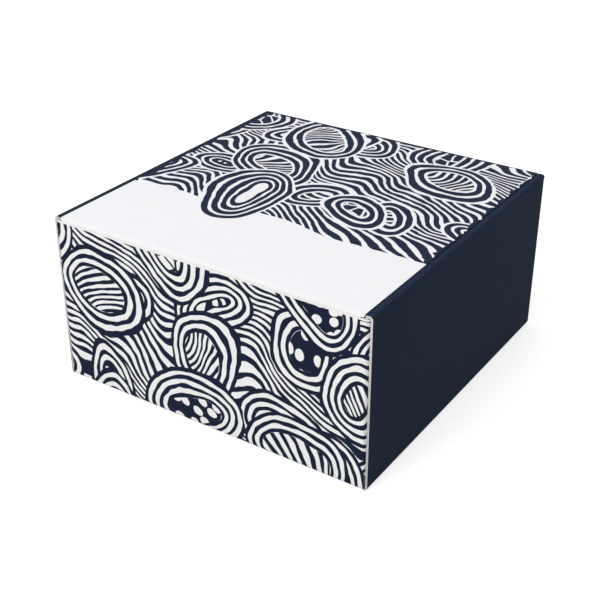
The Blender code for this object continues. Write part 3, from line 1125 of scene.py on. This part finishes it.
def crease_strip(name, outer, inner, mark, direction, pull_by, printed, bodies, ends):
    """A strip from a printed and a plain chain, (start, moves) each, bent between two bodies."""
    bm = new_board()
    start = outer[0]
    chains = [trace(bm, *chain, mark, direction, ply) for ply, chain in enumerate((outer, inner))]
    pull_solid(bm, section(bm, *chains), in_rings(pull_by))
    axis = 0 if pull_by[0] else 1
    mark_cut(bm, axis, start[axis], start[axis] + pull_by[axis])
    bmesh.ops.recalc_face_normals(bm, faces=bm.faces)
    piece = finish_board(bm, name, printed, None, (ALONG_X, ALONG_Y)[axis], edge_round=0.0)
    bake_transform(piece, bodies[0], bodies[1], start=ends[0], end=ends[1])
    return piece


fold_length = math.pi / 2 * BOARD
up_and_over = [
    ((0, 0, LEG), LEG_STEPS),
    ((-lid_half, HALF_DEPTH - LEG, HEIGHT - LEG), ALONG_X, 90, FOLD_STEPS),
    ((0, -LEG, 0), LEG_STEPS),
]
strip = crease_strip(
    "lid_crease_strip",
    ((-lid_half, HALF_DEPTH, HEIGHT - 2 * LEG), up_and_over),
    ((-lid_half, HALF_DEPTH - BOARD, HEIGHT - 2 * LEG),
     [((0, 0, LEG), INNER_STEPS), ((0, -LEG, 0), INNER_STEPS)]),
    lid_rear + 2 * LEG + fold_length, -1.0, (2 * lid_half, 0, 0), lid_print, ("box", "lid"),
    ((0, hinge_y + BOARD / 2, hinge_z - BOARD / 2), (0, hinge_y - BOARD / 2, hinge_z + BOARD / 2)),
)
close_ends(strip)

# %% [markdown]
# The side flaps hang inside the box, on creases along the lid's two sides. These are creased hard,
# so little light is lost between the lid and the rolled wall. The sheet runs on across them, so
# their map is turned to agree with the lid's. The flaps have a slanted front, to clear the wall.

# %% Side flaps and their creases
FLAP_SLANT = 0.028  # how far back the front side leans
FLAP_BACK_SLANT = 0.008
FLAP_FOOT_ROUND = 0.006
for side, sign in SIDES:
    strip = crease_strip(
        f"{side}_flap_crease_strip",
        ((sign * main_half, flap_front, HEIGHT), [
            ((sign * (2 * LEG - CRISP), 0, 0), LEG_STEPS),
            ((sign * (side_x + LEG - CRISP), flap_front, HEIGHT - CRISP), ALONG_Y, 90 * sign, FOLD_STEPS),
            ((0, 0, CRISP - 2 * LEG), LEG_STEPS),
        ]),
        ((sign * main_half, flap_front, lid_under),
         [((sign * LEG, 0, 0), INNER_STEPS), ((0, 0, -LEG), INNER_STEPS)]),
        main_half, 1.0, (0, flap_back - flap_front, 0), lid_print, ("lid", f"{side}_side_flap"),
        ((sign * side_x, 0, HEIGHT), (sign * (side_x + BOARD), 0, side_z)),
    )
    for corner in strip.data.uv_layers["sheet"].data:
        corner.uv = (sign * corner.uv.y, corner.uv.x)
    outline = [
        (flap_front, side_z - LEG, 0),
        (flap_front + FLAP_SLANT, flap_low.z, FLAP_FOOT_ROUND),
        (flap_back - FLAP_BACK_SLANT, flap_low.z, FLAP_FOOT_ROUND),
        (flap_back, side_z - LEG, 0),
    ]
    piece = cut_panel(f"{side}_flap_board", outline, upright(sign * flap_high.x), (sign, 0, 0), navy,
                      f"{side}_side_flap", seams=[("along", side_z - LEG)])
    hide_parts(f"lid_{side}_flap")

# %% [markdown]
# The tuck flap slides in behind the front wall and leans back a little, which leaves it room to
# swing out. Its crease is straight at rest, so both chains are single runs.

# %% Tuck flap and its crease
LEAN = math.radians(6.6)
TUCK_LEG = 0.0015
TUCK_STEPS = 10
TUCK_LENGTH = 0.045
TUCK_TAPER = 0.003
TUCK_ROUND = 0.012
BLEND_DEPTH = 0.0001  # the blend's far end lies this much further in
down = Vector((0.0, math.sin(LEAN), -math.cos(LEAN)))
forward = Vector((0.0, -math.cos(LEAN), -math.sin(LEAN)))
crease = Vector((-tuck_half, tuck_y, tuck_z))
front_head = crease + Vector((0, -BOARD, 0))
front_foot = crease + forward * BOARD + down * TUCK_LEG
strip = crease_strip(
    "tuck_crease_strip",
    (front_head, [(front_foot - front_head, TUCK_STEPS)]),
    (crease, [(down * TUCK_LEG, TUCK_STEPS)]),
    0.0, -1.0, (2 * tuck_half, 0, 0), white, ("lid", "tuck_flap"),
    ((0, tuck_y - BOARD / 2, tuck_z), (0, tuck_y - BOARD / 2 + BLEND_DEPTH, tuck_z - TUCK_LEG)),
)
outline = [
    (-tuck_half, -TUCK_LEG, 0),
    (TUCK_TAPER - tuck_half, -TUCK_LENGTH, TUCK_ROUND),
    (tuck_half - TUCK_TAPER, -TUCK_LENGTH, TUCK_ROUND),
    (tuck_half, -TUCK_LEG, 0),
]
head = Vector((0.0, tuck_y, tuck_z)) + forward * BOARD
piece = cut_panel("tuck_board", outline, lambda a, b: head + Vector((a, 0, 0)) - down * b, (0, -1, 0), white,
                  "tuck_flap", seams=[("along", -TUCK_LEG)])
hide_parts("lid_tuck_flap")

# %% [markdown]
# ## Floor and light
# The box stands on a plain white sweep in even studio light. The floor keeps a soft shadow under
# the box. To the camera it shines a little by itself, which takes it to white without more light
# on the box.

# %% Floor
WHITE = (1.0, 1.0, 1.0, 1.0)
FLOOR_GREY = (0.60, 0.60, 0.60, 1.0)
FLOOR_GLOW = 0.64


def looked_at(tree):
    """1 for rays from the camera, straight or by way of a mirror or glass, and 0 for light."""
    path = put(tree, "ShaderNodeLightPath").outputs
    straight, glossy, through = [Wire(path[f"Is {ray} Ray"]) for ray in ("Camera", "Glossy", "Transmission")]
    return calc("MAXIMUM", straight, calc("MAXIMUM", glossy, through))


bpy.ops.mesh.primitive_plane_add(size=6.0, location=(0, 0, 0))
floor = bpy.context.object
floor.name = "floor"
material = bpy.data.materials.new("floor")
material.use_nodes = True
tree = material.node_tree
tree.nodes.clear()
matte = Wire(put(tree, "ShaderNodeBsdfDiffuse", {"Color": FLOOR_GREY}).outputs[0])
glow = joined("ShaderNodeEmission", {"Color": WHITE, "Strength": looked_at(tree) * FLOOR_GLOW})
put(tree, "ShaderNodeOutputMaterial", {0: joined("ShaderNodeAddShader", {0: matte, 1: glow})})
floor.data.materials.append(material)
print("floor made")

# %% [markdown]
# Most of the light is an even white world, as from a tent of paper round the table. The camera
# sees it as pure white. One large soft lamp in front makes the front wall the lightest side, and
# a weak one above evens the lid.

# %% World and lamps
SKY = 0.69  # how brightly the world lights the box
BOX_MIDDLE = Vector((0.0, 0.0, 0.05))
world = bpy.data.worlds.new("studio")
bpy.context.scene.world = world
world.use_nodes = True
tree = world.node_tree
tree.nodes.clear()
sky = joined("ShaderNodeBackground", {"Color": WHITE, "Strength": choose(looked_at(tree), SKY, 1.0)})
put(tree, "ShaderNodeOutputWorld", {0: sky})


def softbox(name, place, size, power):
    """A square area lamp that faces the box."""
    lamp = bpy.data.lights.new(name, "AREA")
    lamp.shape = "SQUARE"
    lamp.size = size
    lamp.energy = power
    look(add_object(name, lamp), Vector(place), BOX_MIDDLE)


softbox("key", (-0.45, -1.9, 1.8), 1.2, 32.0)
softbox("top", (-0.2, 0.3, 2.0), 1.4, 0.8)
bpy.context.scene.view_settings.view_transform = "Standard"
